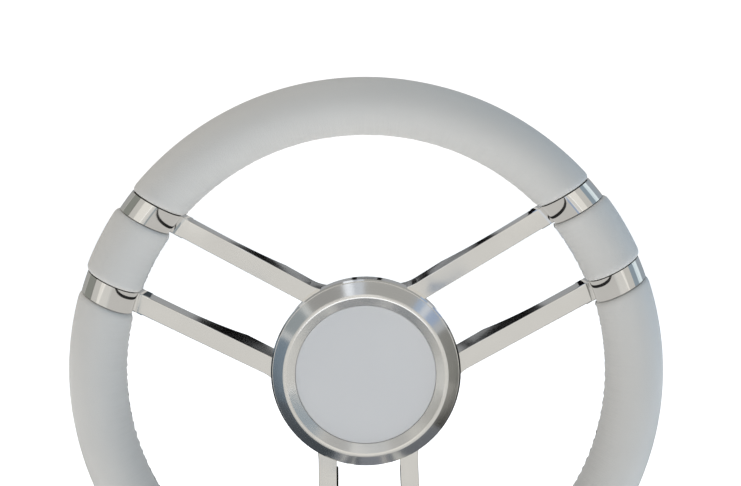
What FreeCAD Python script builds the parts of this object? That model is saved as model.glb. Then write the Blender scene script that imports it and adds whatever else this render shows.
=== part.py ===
"""Marine steering wheel with three pairs of twin spokes, on its helm shaft and flange.

The pieces are drawn in a working frame whose +Z points at the helmsman, with zero at
the back face of the helm flange. TURN_UPRIGHT then stands the wheel up: the front faces
-Y, +Z is up, and the shaft runs along Y. Lengths are in millimetres, angles in degrees.
"""
import FreeCAD, Part
import math
import os
import re
import Sketcher

Vector = FreeCAD.Vector
Rotation = FreeCAD.Rotation
Placement = FreeCAD.Placement

TURN_UPRIGHT = Placement(Vector(0, 0, 0), Rotation(Vector(1, 0, 0), 90))
PAIR_ANGLES = {"right": 30, "left": 150, "bottom": 270}
ARMS = {
    "right_upper": ("right", 1),
    "right_lower": ("right", -1),
    "left_upper": ("left", -1),
    "left_lower": ("left", 1),
    "bottom_left": ("bottom", -1),
    "bottom_right": ("bottom", 1),
}
LONG_GRIPS = {
    "top": ("right_upper", "left_upper"),
    "port": ("left_lower", "bottom_left"),
    "starboard": ("bottom_right", "right_lower"),
}
SHORT_GRIPS = {
    "right": ("right_lower", "right_upper"),
    "left": ("left_upper", "left_lower"),
    "bottom": ("bottom_left", "bottom_right"),
}

SIZES = {
    # rim
    "rim_height": 90.0,
    "rim_radius": 158.5,
    "ring_radius": 5.0,
    "grip_radius": 16.5,
    "short_grip_radius": 17.2,
    "leather_thick": 1.4,
    "grip_gap": 0.4,
    "foam_inset": 3.2,
    "long_grip_margin": 9.5,
    "short_grip_margin": -7.0,
    "trim_block": 60.0,
    # collars
    "collar_radius": 15.6,
    "collar_width": 12.4,
    "neck_length": 6.2,
    "neck_lip": 0.4,
    "neck_round": 0.9,
    "neck_overlap": 12.0,
    "grub_radius": 2.5,
    "grub_length": 8.0,
    "grub_key_radius": 1.45,
    "grub_key_depth": 2.5,
    # arms
    "arm_width": 11.05,
    "arm_depth": 13.0,
    "arm_offset": 24.0,
    "arm_splay": 0.88,
    "arm_dish": 5.71,
    "arm_root_height": 73.0,
    "arm_start": 35.5,
    "arm_end": 149.0,
    "arm_knee": 116.0,
    "arm_heel": 74.0,
    "flare_radius": 25.0,
    "arm_edge": 0.5,
    # spoke frame's hub
    "cup_radius": 57.0,
    "cup_bore": 50.5,
    "cup_front": 83.4,
    "cup_back": 56.0,
    "cup_floor": 64.0,
    "cup_waist": 52.5,
    "cup_collar": 13.0,
    "spigot_bore": 20.2,
    "screw_circle": 28.0,
    "screw_radius": 3.0,
    "screw_head_radius": 5.0,
    "screw_head_height": 4.0,
    "screw_key_radius": 2.9,
    "screw_key_depth": 2.4,
    # boss
    "spigot_radius": 20.0,
    "boss_radius": 36.0,
    "boss_flange": 8.0,
    "barrel_radius": 21.0,
    "barrel_back": 24.0,
    # shaft
    "shaft_radius": 9.525,
    "taper_small": 8.025,
    "taper_front": 60.0,
    "thread_radius": 6.35,
    "shaft_front": 79.0,
    "shaft_back": -35.0,
    "key_width": 4.76,
    "key_height": 4.76,
    "key_length": 25.0,
    "key_front": 56.0,
    "nut_size": 19.0,
    "nut_height": 10.5,
    "washer_radius": 13.5,
    "washer_thick": 2.5,
    # helm flange
    "flange_radius": 44.0,
    "flange_thick": 8.0,
    "nose_radius": 19.0,
    "nose_front": 22.8,
    "bush_radius": 13.0,
    "bush_play": 0.06,
    "seal_thick": 4.0,
    "ring_pocket_radius": 16.5,
    "ring_pocket_depth": 2.6,
    "bolt_circle": 36.0,
    "bolt_hole_radius": 3.3,
    # cap
    "cap_radius": 55.6,
    "cap_crest_radius": 48.0,
    "cap_crest": 90.9,
    "cap_edge": 85.4,
    "cap_back": 83.7,
    "disc_radius": 42.0,
    "disc_front": 86.7,
    "disc_thick": 2.4,
    "tape_thick": 0.6,
    "web_thick": 2.0,
    "web_bore": 30.0,
    "skirt_radius": 49.9,
    "skirt_thick": 3.4,
    "skirt_back": 72.0,
    "oring_radius": 1.35,
    "oring_height": 77.0,
}

doc = FreeCAD.newDocument("steering_wheel")
sheet = doc.addObject("Spreadsheet::Sheet", "sizes")
exported = []


def fill_sheet():
    """Write the driving sizes in the sheet, one alias a row."""
    for row, (word, value) in enumerate(SIZES.items(), start=1):
        sheet.set(f"A{row}", word)
        sheet.set(f"B{row}", str(value))
        sheet.setAlias(f"B{row}", word)
    doc.recompute()


def size(formula):
    """The value of a formula in the sheet's aliases, as a number of millimetres."""
    return float(sheet.evalExpression(bound(formula)))


def bound(formula):
    """The same formula with each alias pointing at the sheet."""
    return re.sub("[a-z_]+", point_at_sheet, formula)


def point_at_sheet(match):
    word = match.group()
    return f"sizes.{word}" if word in SIZES else word


def keep(thing, node):
    """Name a finished sub-part, stand it upright and list it for export."""
    thing.Label = node
    thing.Placement = TURN_UPRIGHT.multiply(thing.Placement)
    exported.append(thing)
    return thing


def new_body(name):
    return doc.addObject("PartDesign::Body", f"{name}_body")


def origin_plane(body, role):
    return next(o for o in body.Origin.OriginFeatures if o.Role == role)


def sketch_on(body, name, role, offset=None):
    """An empty sketch on one of the body's own origin planes."""
    sketch = body.newObject("Sketcher::SketchObject", name)
    sketch.AttachmentSupport = (origin_plane(body, role), [""])
    sketch.MapMode = "FlatFace"
    if offset is not None:
        sketch.AttachmentOffset = offset
    return sketch


def pin_point(sketch, geometry, end, across, up):
    """Fix one end of a sketch line at two formulas, measured from the sketch's origin."""
    for kind, formula, axis in (("DistanceX", across, -2), ("DistanceY", up, -1)):
        value = size(formula)
        if abs(value) < 1e-9:
            sketch.addConstraint(Sketcher.Constraint("PointOnObject", geometry, end, axis))
            continue
        index = sketch.addConstraint(Sketcher.Constraint(kind, -1, 1, geometry, end, value))
        sketch.setExpression(f"Constraints[{index}]", bound(formula))


def draw_outline(sketch, corners):
    """A closed outline of straight lines; each corner is a pair of formulas."""
    spots = [Vector(size(across), size(up), 0) for across, up in corners]
    first = sketch.GeometryCount
    count = len(spots)
    for index, spot in enumerate(spots):
        sketch.addGeometry(Part.LineSegment(spot, spots[(index + 1) % count]))
    for index in range(count):
        after = first + (index + 1) % count
        sketch.addConstraint(Sketcher.Constraint("Coincident", first + index, 2, after, 1))
    for index, (across, up) in enumerate(corners):
        pin_point(sketch, first + index, 1, across, up)


def draw_circle(sketch, across, up, radius):
    centre = Vector(size(across), size(up), 0)
    index = sketch.addGeometry(Part.Circle(centre, Vector(0, 0, 1), size(radius)))
    at = sketch.addConstraint(Sketcher.Constraint("Radius", index, size(radius)))
    sketch.setExpression(f"Constraints[{at}]", bound(radius))
    pin_point(sketch, index, 3, across, up)


def turned(name, corners):
    """A body turned about the wheel's axis from a section of radius and height."""
    body = new_body(name)
    turn_on(body, name, corners)
    return body


def turn_on(body, name, corners):
    """Add to a body what a section of radius and height sweeps about the wheel's axis."""
    sketch = sketch_on(body, f"{name}_section", "XZ_Plane")
    draw_outline(sketch, corners)
    spin = body.newObject("PartDesign::Revolution", f"{name}_turn")
    spin.Profile = sketch
    spin.ReferenceAxis = (sketch, ["V_Axis"])
    spin.Angle = 360
    doc.recompute()


def pocket(body, name, sketch, depth=None, reverse=False):
    """Cut a sketch into the body and make sure that it removed something."""
    before = body.Shape.Volume
    cut = body.newObject("PartDesign::Pocket", name)
    cut.Profile = sketch
    cut.Reversed = reverse
    if depth is None:
        cut.Type = "ThroughAll"
        cut.Midplane = True
    else:
        cut.Type = "Length"
        cut.setExpression("Length", bound(depth))
    doc.recompute()
    if body.Shape.Volume >= before - 1:
        raise ValueError(f"{name} removed nothing")
    return cut


def ring_of_circles(body, name, height, count, circle, radius, start=0):
    """A sketch at a height with equal circles spaced round the axis."""
    offset = Placement(Vector(0, 0, size(height)), Rotation())
    sketch = sketch_on(body, name, "XY_Plane", offset)
    sketch.setExpression("AttachmentOffset.Base.z", bound(height))
    for index in range(count):
        angle = start + 360 * index / count
        across = f"{circle} * cos({angle})"
        up = f"{circle} * sin({angle})"
        draw_circle(sketch, across, up, radius)
    return sketch


def arm_turn(arm):
    """The angle of an arm about the wheel's axis, and the side of the pair it is on."""
    pair, side = ARMS[arm]
    return PAIR_ANGLES[pair] + side * SIZES["arm_splay"], side


# ---------------------------------------------------------------- primitives


def box(name, corner, lengths, placement=None):
    """A Part::Box whose corner and lengths are formulas."""
    block = doc.addObject("Part::Box", name)
    for side, formula in zip(("Length", "Width", "Height"), lengths):
        block.setExpression(side, bound(formula))
    at = Placement(Vector(*[size(c) for c in corner]), Rotation())
    block.Placement = (placement or Placement()).multiply(at)
    return block


def cylinder(name, radius, height, at):
    rod = doc.addObject("Part::Cylinder", name)
    rod.setExpression("Radius", bound(radius))
    rod.setExpression("Height", bound(height))
    rod.Placement = Placement(at, Rotation())
    return rod


def torus(name, tube, ring="rim_radius", height="rim_height", start=0, sweep=360):
    """A Part::Torus round the wheel's axis, or a stretch of one."""
    hoop = doc.addObject("Part::Torus", name)
    hoop.setExpression("Radius1", bound(ring))
    hoop.setExpression("Radius2", bound(tube))
    hoop.Angle3 = sweep
    hoop.Placement = Placement(Vector(0, 0, size(height)), Rotation(Vector(0, 0, 1), start))
    return hoop


def cut(name, base, tool):
    result = doc.addObject("Part::Cut", name)
    result.Base = base
    result.Tool = tool
    return result


def fuse(name, *shapes):
    result = doc.addObject("Part::MultiFuse", name)
    result.Shapes = list(shapes)
    return result


def common(name, base, tool):
    result = doc.addObject("Part::Common", name)
    result.Base = base
    result.Tool = tool
    return result


# ---------------------------------------------------------------- spoke frame


def make_spoke_frame():
    """One stainless piece: a round cup that carries six dished arms in twin pairs."""
    waist = [
        ("spigot_bore", "cup_back"),
        ("cup_waist", "cup_back"),
        ("cup_waist", "cup_front - 1"),
        ("spigot_bore", "cup_front - 1"),
    ]
    collar = [
        ("cup_bore - 1", "cup_front - cup_collar - cup_radius + cup_waist"),
        ("cup_waist", "cup_front - cup_collar - cup_radius + cup_waist"),
        ("cup_radius", "cup_front - cup_collar"),
        ("cup_radius", "cup_front - 1"),
        ("cup_radius - 1", "cup_front"),
        ("cup_bore - 1", "cup_front"),
    ]
    body = turned("spoke_frame", waist)
    for arm in ARMS:
        add_arm(body, arm)
    turn_on(body, "cup_collar", collar)
    clear_cup(body)
    seats = ring_of_circles(
        body, "screw_seats", "cup_floor", 6, "screw_circle", "screw_head_radius + 0.4"
    )
    pocket(body, "cut_screw_seats", seats, "screw_head_height")
    holes = ring_of_circles(
        body, "screw_holes", "cup_floor", 6, "screw_circle", "screw_radius + 0.3"
    )
    pocket(body, "cut_screw_holes", holes)
    soften_arms(body)
    return keep(body, "spoke_frame")


def add_arm(body, arm):
    """A straight arm: flat front, deeper towards the cup, flared on the outer side."""
    angle, side = arm_turn(arm)
    inner = "arm_offset - arm_width / 2"
    outer = "arm_offset + arm_width / 2"
    flare_at = f"sqrt((cup_waist + flare_radius)^2 - ({outer} + flare_radius)^2)"
    rise = f"({outer} + flare_radius) * cup_waist / (cup_waist + flare_radius)"

    # the sketch stands on the arm's inner flank, with its normal towards the outer one
    flank = Placement(Vector(0, 0, 0), Rotation(Vector(0, 1, 0), angle))
    shift = Placement(Vector(0, 0, -side * size(inner)), Rotation())
    profile = sketch_on(body, f"{arm}_profile", "XZ_Plane", flank.multiply(shift))
    draw_arm_profile(profile)
    pad = body.newObject("PartDesign::Pad", f"{arm}_pad")
    pad.Profile = profile
    pad.setExpression("Length", bound(f"{rise} - ({inner})"))
    pad.Reversed = side > 0
    doc.recompute()

    turn = Placement(Vector(0, 0, 0), Rotation(Vector(0, 0, 1), angle))
    plan = sketch_on(body, f"{arm}_plan", "XY_Plane", turn)
    reach = size("arm_end") + 5
    edge = side * size(outer)
    start = Vector(size(flare_at), edge, 0)
    centre = Vector(size(flare_at), side * (size(outer) + size("flare_radius")), 0)
    touch = centre * (size("cup_waist") / centre.Length)
    middle = centre + ((start + touch) * 0.5 - centre).normalize() * size("flare_radius")
    clear = side * 2
    spots = [
        touch,
        Vector(touch.x, touch.y + clear, 0),
        Vector(reach, touch.y + clear, 0),
        Vector(reach, edge, 0),
        start,
    ]
    for first, second in zip(spots, spots[1:]):
        plan.addGeometry(Part.LineSegment(first, second))
    plan.addGeometry(Part.Arc(start, middle, touch))
    for index in range(5):
        join_ends(plan, index, (index + 1) % 5)
    plan.addConstraint(Sketcher.Constraint("Block", 4))
    pocket(body, f"{arm}_flare", plan)


def join_ends(sketch, one, two):
    """Tie the touching ends of two neighbouring pieces of geometry."""
    for end_one in (1, 2):
        for end_two in (1, 2):
            gap = sketch.getPoint(one, end_one) - sketch.getPoint(two, end_two)
            if gap.Length < 1e-6:
                sketch.addConstraint(Sketcher.Constraint("Coincident", one, end_one, two, end_two))
                return


def draw_arm_profile(sketch):
    """The arm seen from its flank: reach outwards, height towards the helmsman."""
    slope = math.tan(math.radians(SIZES["arm_dish"]))
    root = size("arm_root_height")
    front = {u: root + slope * size(u) for u in ("arm_start", "arm_end", "arm_knee")}
    depth = size("arm_depth") / math.cos(math.radians(SIZES["arm_dish"]))
    heel = Vector(size("arm_heel"), size("cup_back"), 0)
    knee = Vector(size("arm_knee"), front["arm_knee"] - depth, 0)
    tip = Vector(size("arm_end"), front["arm_end"] - depth, 0)
    spots = [
        heel,
        Vector(size("arm_start"), size("cup_back"), 0),
        Vector(size("arm_start"), front["arm_start"], 0),
        Vector(size("arm_end"), front["arm_end"], 0),
        tip,
        knee,
    ]
    for first, second in zip(spots, spots[1:]):
        sketch.addGeometry(Part.LineSegment(first, second))
    sketch.addGeometry(Part.Arc(knee, arc_middle(knee, tip - knee, heel), heel))
    for index in (0, 1, 2, 3, 5):
        join_ends(sketch, index, (index + 1) % 6)
    sketch.addConstraint(Sketcher.Constraint("Tangent", 4, 2, 5, 1))
    pins = [
        (0, 1, "arm_heel", "cup_back"),
        (1, 1, "arm_start", "cup_back"),
        (2, 1, "arm_start", "arm_root_height + arm_start * tan(arm_dish)"),
        (3, 1, "arm_end", "arm_root_height + arm_end * tan(arm_dish)"),
        (4, 1, "arm_end", "arm_root_height + arm_end * tan(arm_dish) - arm_depth / cos(arm_dish)"),
        (4, 2, "arm_knee", "arm_root_height + arm_knee * tan(arm_dish) - arm_depth / cos(arm_dish)"),
    ]
    for geometry, end, across, up in pins:
        pin_point(sketch, geometry, end, across, up)


def arc_middle(start, along, end):
    """A point half way along the arc that leaves start in line with along and ends at end."""
    chord = end - start
    heading = Vector(-along.x, -along.y, 0).normalize()
    side = Vector(-heading.y, heading.x, 0)
    if side.dot(chord) < 0:
        side = side * -1
    radius = chord.Length**2 / (2 * side.dot(chord))
    centre = start + side * radius
    outward = ((start + end) * 0.5 - centre).normalize()
    return centre + outward * radius


def clear_cup(body):
    """Turn out the cup again, so that no arm stands inside it."""
    sketch = sketch_on(body, "cup_section", "XZ_Plane")
    draw_outline(
        sketch,
        [
            ("spigot_bore", "cup_floor"),
            ("cup_bore", "cup_floor"),
            ("cup_bore", "cup_front + 2"),
            ("spigot_bore", "cup_front + 2"),
        ],
    )
    before = body.Shape.Volume
    bore = body.newObject("PartDesign::Groove", "turn_out_cup")
    bore.Profile = sketch
    bore.ReferenceAxis = (sketch, ["V_Axis"])
    bore.Angle = 360
    doc.recompute()
    if body.Shape.Volume >= before:
        raise ValueError("the cup was not turned out")


def soften_arms(body):
    """Break the sharp edges along the front of each arm."""
    normal_up = math.cos(math.radians(SIZES["arm_dish"]))
    names = []
    faces = [
        face
        for face in body.Shape.Faces
        if face.Surface.TypeId == "Part::GeomPlane"
        and abs(face.normalAt(0, 0).z - normal_up) < 1e-4
        and face.Area > 500
    ]
    for index, edge in enumerate(body.Shape.Edges, start=1):
        on_front = any(edge.isSame(other) for face in faces for other in face.Edges)
        if on_front and edge.Curve.TypeId == "Part::GeomLine" and edge.Length > 60:
            names.append(f"Edge{index}")
    sharp = body.Tip
    soft = body.newObject("PartDesign::Fillet", "arm_edges")
    soft.Base = (sharp, names)
    soft.setExpression("Radius", bound("arm_edge"))
    doc.recompute()


# ---------------------------------------------------------------- rim


def make_rim():
    """The steel ring inside the grips, and the grips between the collars."""
    keep(torus("ring_hoop", "ring_radius"), "rim_ring")
    for name, arms in LONG_GRIPS.items():
        make_grip(f"grip_{name}", arms, "grip_radius", True)
    for name, arms in SHORT_GRIPS.items():
        make_grip(f"grip_{name}_short", arms, "short_grip_radius", False)


def grip_trims(name, arms, outward, inset):
    """Two blocks that trim a grip's ends parallel to the arms beside it."""
    blocks = []
    gap = f"(collar_width / 2 + grip_gap + {inset})"
    line = f"arm_offset + {gap}" if outward else f"arm_offset - {gap}"
    for arm in arms:
        angle, side = arm_turn(arm)
        turn = Placement(Vector(0, 0, 0), Rotation(Vector(0, 0, 1), angle))
        towards_centre = outward == (side > 0)
        low = f"{line} - trim_block / 2" if towards_centre else f"{line}"
        if side < 0:
            low = f"0 - ({line})" if outward else f"0 - ({line}) - trim_block / 2"
        corner = ("rim_radius - trim_block / 2", low, "rim_height - trim_block / 2")
        lengths = ("trim_block", "trim_block / 2", "trim_block")
        blocks.append(box(f"{name}_{arm}_trim", corner, lengths, turn))
    return fuse(f"{name}_trims", *blocks)


def make_grip(name, arms, tube, outward):
    """A foam core round the ring, and the leather sleeve round the core."""
    margin = SIZES["long_grip_margin" if outward else "short_grip_margin"]
    start = arm_turn(arms[0])[0] + margin
    sweep = (arm_turn(arms[1])[0] - margin - start) % 360
    under = f"{tube} - leather_thick"
    layers = {
        "foam": ("ring_radius + 0.1", under, "foam_inset"),
        "leather": (under, tube, "0"),
    }
    for layer, (inside, outside, inset) in layers.items():
        label = f"{layer}_{name}"
        skin = torus(f"{label}_outer", outside, start=start, sweep=sweep)
        core = torus(f"{label}_inner", inside)
        hollow = cut(f"{label}_tube", skin, core)
        keep(cut(label, hollow, grip_trims(label, arms, outward, inset)), label)


def make_collars():
    """Six polished collars with a neck that sockets the arm, and their grub screws."""
    grubs = []
    for arm in ARMS:
        angle, side = arm_turn(arm)
        turn = Placement(Vector(0, 0, 0), Rotation(Vector(0, 0, 1), angle))
        tilt = Placement(
            Vector(0, 0, size("arm_root_height")),
            Rotation(Vector(0, 1, 0), -SIZES["arm_dish"]),
        )
        centre = "0 - arm_offset" if side < 0 else "arm_offset"
        slab = box(
            f"{arm}_slab",
            (
                "rim_radius - trim_block / 2",
                f"{centre} - collar_width / 2",
                "rim_height - trim_block / 2",
            ),
            ("trim_block", "collar_width", "trim_block"),
            turn,
        )
        band = common(f"{arm}_band", torus(f"{arm}_hoop", "collar_radius"), slab)
        block = box(
            f"{arm}_neck_block",
            (
                "(rim_radius - collar_radius - 2.5 - neck_length) / cos(arm_dish)",
                f"{centre} - arm_width / 2 - neck_lip",
                "0 - arm_depth - neck_lip",
            ),
            ("neck_length + neck_overlap", "arm_width + 2 * neck_lip", "arm_depth + 2 * neck_lip"),
            turn.multiply(tilt),
        )
        doc.recompute()
        neck = doc.addObject("Part::Fillet", f"{arm}_neck")
        neck.Base = block
        long_edges = [
            index
            for index, edge in enumerate(block.Shape.Edges, start=1)
            if abs(edge.Length - size("neck_length + neck_overlap")) < 1e-6
        ]
        round_by = SIZES["neck_round"]
        neck.Edges = [(index, round_by, round_by) for index in long_edges]
        socket = box(
            f"{arm}_socket",
            (
                "arm_start",
                f"{centre} - arm_width / 2",
                "0 - arm_depth",
            ),
            ("arm_end / cos(arm_dish) - arm_start + 0.7", "arm_width", "arm_depth"),
            turn.multiply(tilt),
        )
        foot = Vector(math.sqrt(size("rim_radius ^ 2 - arm_offset ^ 2")), side * size("arm_offset"), 0)
        foot = turn.multVec(foot)
        low = size("rim_height - ring_radius - 0.1 - grub_length")
        hole = cylinder(f"{arm}_grub_hole", "grub_radius", "30", Vector(foot.x, foot.y, low - 22))
        through = torus(f"{arm}_ring_hole", "ring_radius + 0.05")
        hollow = fuse(f"{arm}_hollow", socket, through, hole)
        solid = fuse(f"{arm}_solid", band, neck)
        keep(cut(f"{arm}_collar", solid, hollow), f"collar_{arm}")
        grubs.append(make_grub(arm, Vector(foot.x, foot.y, low)))
    keep(fuse("grub_set", *grubs), "collar_grub_screws")


def make_grub(arm, foot):
    """A headless screw with a hexagon socket in its outer end."""
    body = cylinder(f"{arm}_grub", "grub_radius", "grub_length", foot)
    key = doc.addObject("Part::Prism", f"{arm}_grub_key")
    key.Polygon = 6
    key.setExpression("Circumradius", bound("grub_key_radius"))
    key.setExpression("Height", bound("grub_key_depth"))
    key.Placement = Placement(foot, Rotation())
    return cut(f"{arm}_grub_screw", body, key)


# ---------------------------------------------------------------- hub and shaft


def make_boss():
    """The turned boss behind the cup, with its tapered and keyed bore."""
    body = turned(
        "hub_boss",
        [
            ("taper_small + 0.02", "cup_floor"),
            ("spigot_radius", "cup_floor"),
            ("spigot_radius", "cup_back"),
            ("boss_radius", "cup_back"),
            ("boss_radius", "cup_back - boss_flange"),
            ("barrel_radius + 3", "cup_back - boss_flange"),
            ("barrel_radius", "cup_back - boss_flange - 3"),
            ("barrel_radius", "barrel_back + 1.5"),
            ("barrel_radius - 1.5", "barrel_back"),
            ("shaft_radius + 0.02", "barrel_back"),
            ("taper_small + 0.02", "taper_front"),
            ("taper_small + 0.02", "cup_floor - 0.5"),
        ],
    )
    holes = ring_of_circles(
        body, "boss_screw_holes", "cup_back", 6, "screw_circle", "screw_radius"
    )
    pocket(body, "cut_boss_screw_holes", holes)
    slot = sketch_on(body, "keyway_plan", "XY_Plane")
    draw_outline(
        slot,
        [
            ("0 - key_width / 2", "taper_small / 2"),
            ("key_width / 2", "taper_small / 2"),
            ("key_width / 2", "taper_small + key_height - 0.8"),
            ("0 - key_width / 2", "taper_small + key_height - 0.8"),
        ],
    )
    pocket(body, "cut_keyway", slot)
    return keep(body, "hub_boss")


def hub_screw(index):
    """One socket screw: shank, head and hexagon socket."""
    angle = 60 * index
    spot = Rotation(Vector(0, 0, 1), angle).multVec(Vector(size("screw_circle"), 0, 0))
    under = size("cup_floor - screw_head_height")
    tail = size("cup_back - boss_flange + 0.5")
    head = cylinder(
        f"screw_head_{index}",
        "screw_head_radius",
        "screw_head_height",
        Vector(spot.x, spot.y, under),
    )
    shank = cylinder(
        f"screw_shank_{index}",
        "screw_radius - 0.02",
        "cup_floor - screw_head_height - cup_back + boss_flange - 0.5",
        Vector(spot.x, spot.y, tail),
    )
    key = doc.addObject("Part::Prism", f"screw_key_{index}")
    key.Polygon = 6
    key.setExpression("Circumradius", bound("screw_key_radius"))
    key.setExpression("Height", bound("screw_key_depth + 0.6"))
    foot = Vector(spot.x, spot.y, size("cup_floor - screw_key_depth"))
    key.Placement = Placement(foot, Rotation())
    return cut(f"hub_screw_{index}", fuse(f"screw_blank_{index}", head, shank), key)


def make_hub_screws():
    """Six socket screws that hold the spoke frame on the boss."""
    screws = [hub_screw(index) for index in range(6)]
    keep(fuse("hub_screw_set", *screws), "hub_screws")


def make_shaft():
    """The helm shaft: plain journal, taper for the boss and thread for the nut."""
    body = turned(
        "helm_shaft",
        [
            ("0", "shaft_back"),
            ("shaft_radius - 1", "shaft_back"),
            ("shaft_radius", "shaft_back + 1"),
            ("shaft_radius", "0 - 1.6"),
            ("shaft_radius - 0.7", "0 - 1.6"),
            ("shaft_radius - 0.7", "0 - 0.2"),
            ("shaft_radius", "0 - 0.2"),
            ("shaft_radius", "barrel_back"),
            ("taper_small", "taper_front"),
            ("thread_radius", "taper_front"),
            ("thread_radius", "shaft_front - 1"),
            ("thread_radius - 1", "shaft_front"),
            ("0", "shaft_front"),
        ],
    )
    seat = sketch_on(
        body,
        "key_seat_plan",
        "XY_Plane",
        Placement(Vector(0, 0, size("key_front - key_length")), Rotation()),
    )
    draw_outline(
        seat,
        [
            ("0 - key_width / 2", "taper_small - 0.8"),
            ("key_width / 2", "taper_small - 0.8"),
            ("key_width / 2", "taper_small + key_height"),
            ("0 - key_width / 2", "taper_small + key_height"),
        ],
    )
    pocket(body, "cut_key_seat", seat, "key_length", reverse=True)
    return keep(body, "helm_shaft")


def make_small_shaft_parts():
    """Key, washer, nut and retaining ring, which turn with the wheel."""
    key = box(
        "key_block",
        ("0 - key_width / 2 + 0.02", "taper_small - 0.75", "key_front - key_length + 0.1"),
        ("key_width - 0.04", "key_height - 0.2", "key_length - 0.2"),
    )
    keep(key, "shaft_key")
    keep(
        turned(
            "shaft_washer",
            [
                ("thread_radius + 0.3", "cup_floor"),
                ("washer_radius", "cup_floor"),
                ("washer_radius", "cup_floor + washer_thick"),
                ("thread_radius + 0.3", "cup_floor + washer_thick"),
            ],
        ),
        "shaft_washer",
    )
    make_nut()
    keep(
        turned(
            "retaining_ring",
            [
                ("shaft_radius - 0.65", "0 - 1.5"),
                ("shaft_radius + 3.4", "0 - 1.5"),
                ("shaft_radius + 3.4", "0 - 0.3"),
                ("shaft_radius - 0.65", "0 - 0.3"),
            ],
        ),
        "retaining_ring",
    )


def make_nut():
    """A hexagon nut with chamfered corners on the shaft's thread."""
    base = Placement(Vector(0, 0, size("cup_floor + washer_thick")), Rotation())
    hexagon = doc.addObject("Part::Prism", "nut_hexagon")
    hexagon.Polygon = 6
    hexagon.setExpression("Circumradius", bound("nut_size / 2 / cos(30)"))
    hexagon.setExpression("Height", bound("nut_height"))
    hexagon.Placement = base
    crown = doc.addObject("Part::Cone", "nut_crown")
    crown.setExpression("Radius1", bound("nut_size / 2 + nut_height + 0.2"))
    crown.setExpression("Radius2", bound("nut_size / 2 + 0.2"))
    crown.setExpression("Height", bound("nut_height"))
    crown.Placement = base
    bore = cylinder("nut_bore", "thread_radius + 0.02", "nut_height", base.Base)
    keep(cut("nut_solid", common("nut_blank", hexagon, crown), bore), "shaft_nut")


# ---------------------------------------------------------------- helm flange


def make_helm():
    """The fixed flange that the shaft turns in, with its bush and seal."""
    body = turned(
        "helm_flange",
        [
            ("ring_pocket_radius", "0"),
            ("flange_radius - 1", "0"),
            ("flange_radius", "1"),
            ("flange_radius", "flange_thick - 1"),
            ("flange_radius - 1", "flange_thick"),
            ("nose_radius + 4", "flange_thick"),
            ("nose_radius", "flange_thick + 4"),
            ("nose_radius", "nose_front - 1"),
            ("nose_radius - 1", "nose_front"),
            ("bush_radius", "nose_front"),
            ("bush_radius", "ring_pocket_depth"),
            ("ring_pocket_radius", "ring_pocket_depth"),
        ],
    )
    holes = ring_of_circles(body, "bolt_holes", "0", 4, "bolt_circle", "bolt_hole_radius", 45)
    pocket(body, "cut_bolt_holes", holes)
    keep(body, "helm_flange")
    keep(
        turned(
            "shaft_bush",
            [
                ("shaft_radius + bush_play", "0.2"),
                ("bush_radius + 2.5", "0.2"),
                ("bush_radius + 2.5", "ring_pocket_depth - 0.1"),
                ("bush_radius", "ring_pocket_depth - 0.1"),
                ("bush_radius", "nose_front - seal_thick - 0.3"),
                ("shaft_radius + bush_play", "nose_front - seal_thick - 0.3"),
            ],
        ),
        "shaft_bush",
    )
    keep(
        turned(
            "shaft_seal",
            [
                ("shaft_radius + 0.3", "nose_front - seal_thick"),
                ("bush_radius", "nose_front - seal_thick"),
                ("bush_radius", "nose_front"),
                ("shaft_radius + 1.5", "nose_front"),
            ],
        ),
        "shaft_seal",
    )


# ---------------------------------------------------------------- cap


def make_cap():
    """The pull-off cap: bevelled ring with a skirt, disc, tape and sealing ring."""
    groove = "skirt_radius + 0.3 - 2 * oring_radius"
    keep(
        turned(
            "cap_ring",
            [
                ("web_bore", "disc_front - disc_thick - tape_thick - web_thick"),
                ("web_bore", "disc_front - disc_thick - tape_thick"),
                ("disc_radius + 0.1", "disc_front - disc_thick - tape_thick"),
                ("disc_radius + 0.1", "disc_front + 0.1"),
                ("cap_crest_radius - 1.1", "cap_crest - 0.35"),
                ("cap_crest_radius - 0.4", "cap_crest"),
                ("cap_crest_radius + 0.4", "cap_crest"),
                ("cap_crest_radius + 1.1", "cap_crest - 0.35"),
                ("cap_radius - 0.7", "cap_edge + 0.1"),
                ("cap_radius", "cap_edge - 0.5"),
                ("cap_radius", "cap_back + 0.4"),
                ("cap_radius - 0.4", "cap_back"),
                ("skirt_radius", "cap_back"),
                ("skirt_radius", "oring_height + oring_radius + 0.2"),
                (groove, "oring_height + oring_radius + 0.2"),
                (groove, "oring_height - oring_radius - 0.2"),
                ("skirt_radius", "oring_height - oring_radius - 0.2"),
                ("skirt_radius", "skirt_back + 1"),
                ("skirt_radius - 1", "skirt_back"),
                ("skirt_radius - skirt_thick", "skirt_back"),
                (
                    "skirt_radius - skirt_thick",
                    "disc_front - disc_thick - tape_thick - web_thick",
                ),
            ],
        ),
        "cap_ring",
    )
    keep(
        turned(
            "cap_disc",
            [
                ("0", "disc_front - disc_thick"),
                ("disc_radius", "disc_front - disc_thick"),
                ("disc_radius", "disc_front - 0.4"),
                ("disc_radius - 0.4", "disc_front"),
                ("0", "disc_front"),
            ],
        ),
        "cap_disc",
    )
    keep(
        turned(
            "cap_tape",
            [
                ("web_bore + 1", "disc_front - disc_thick - tape_thick"),
                ("disc_radius - 1", "disc_front - disc_thick - tape_thick"),
                ("disc_radius - 1", "disc_front - disc_thick"),
                ("web_bore + 1", "disc_front - disc_thick"),
            ],
        ),
        "cap_tape",
    )
    seal = torus("oring_hoop", "oring_radius", "skirt_radius + 0.3 - oring_radius", "oring_height")
    keep(seal, "cap_oring")


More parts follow.
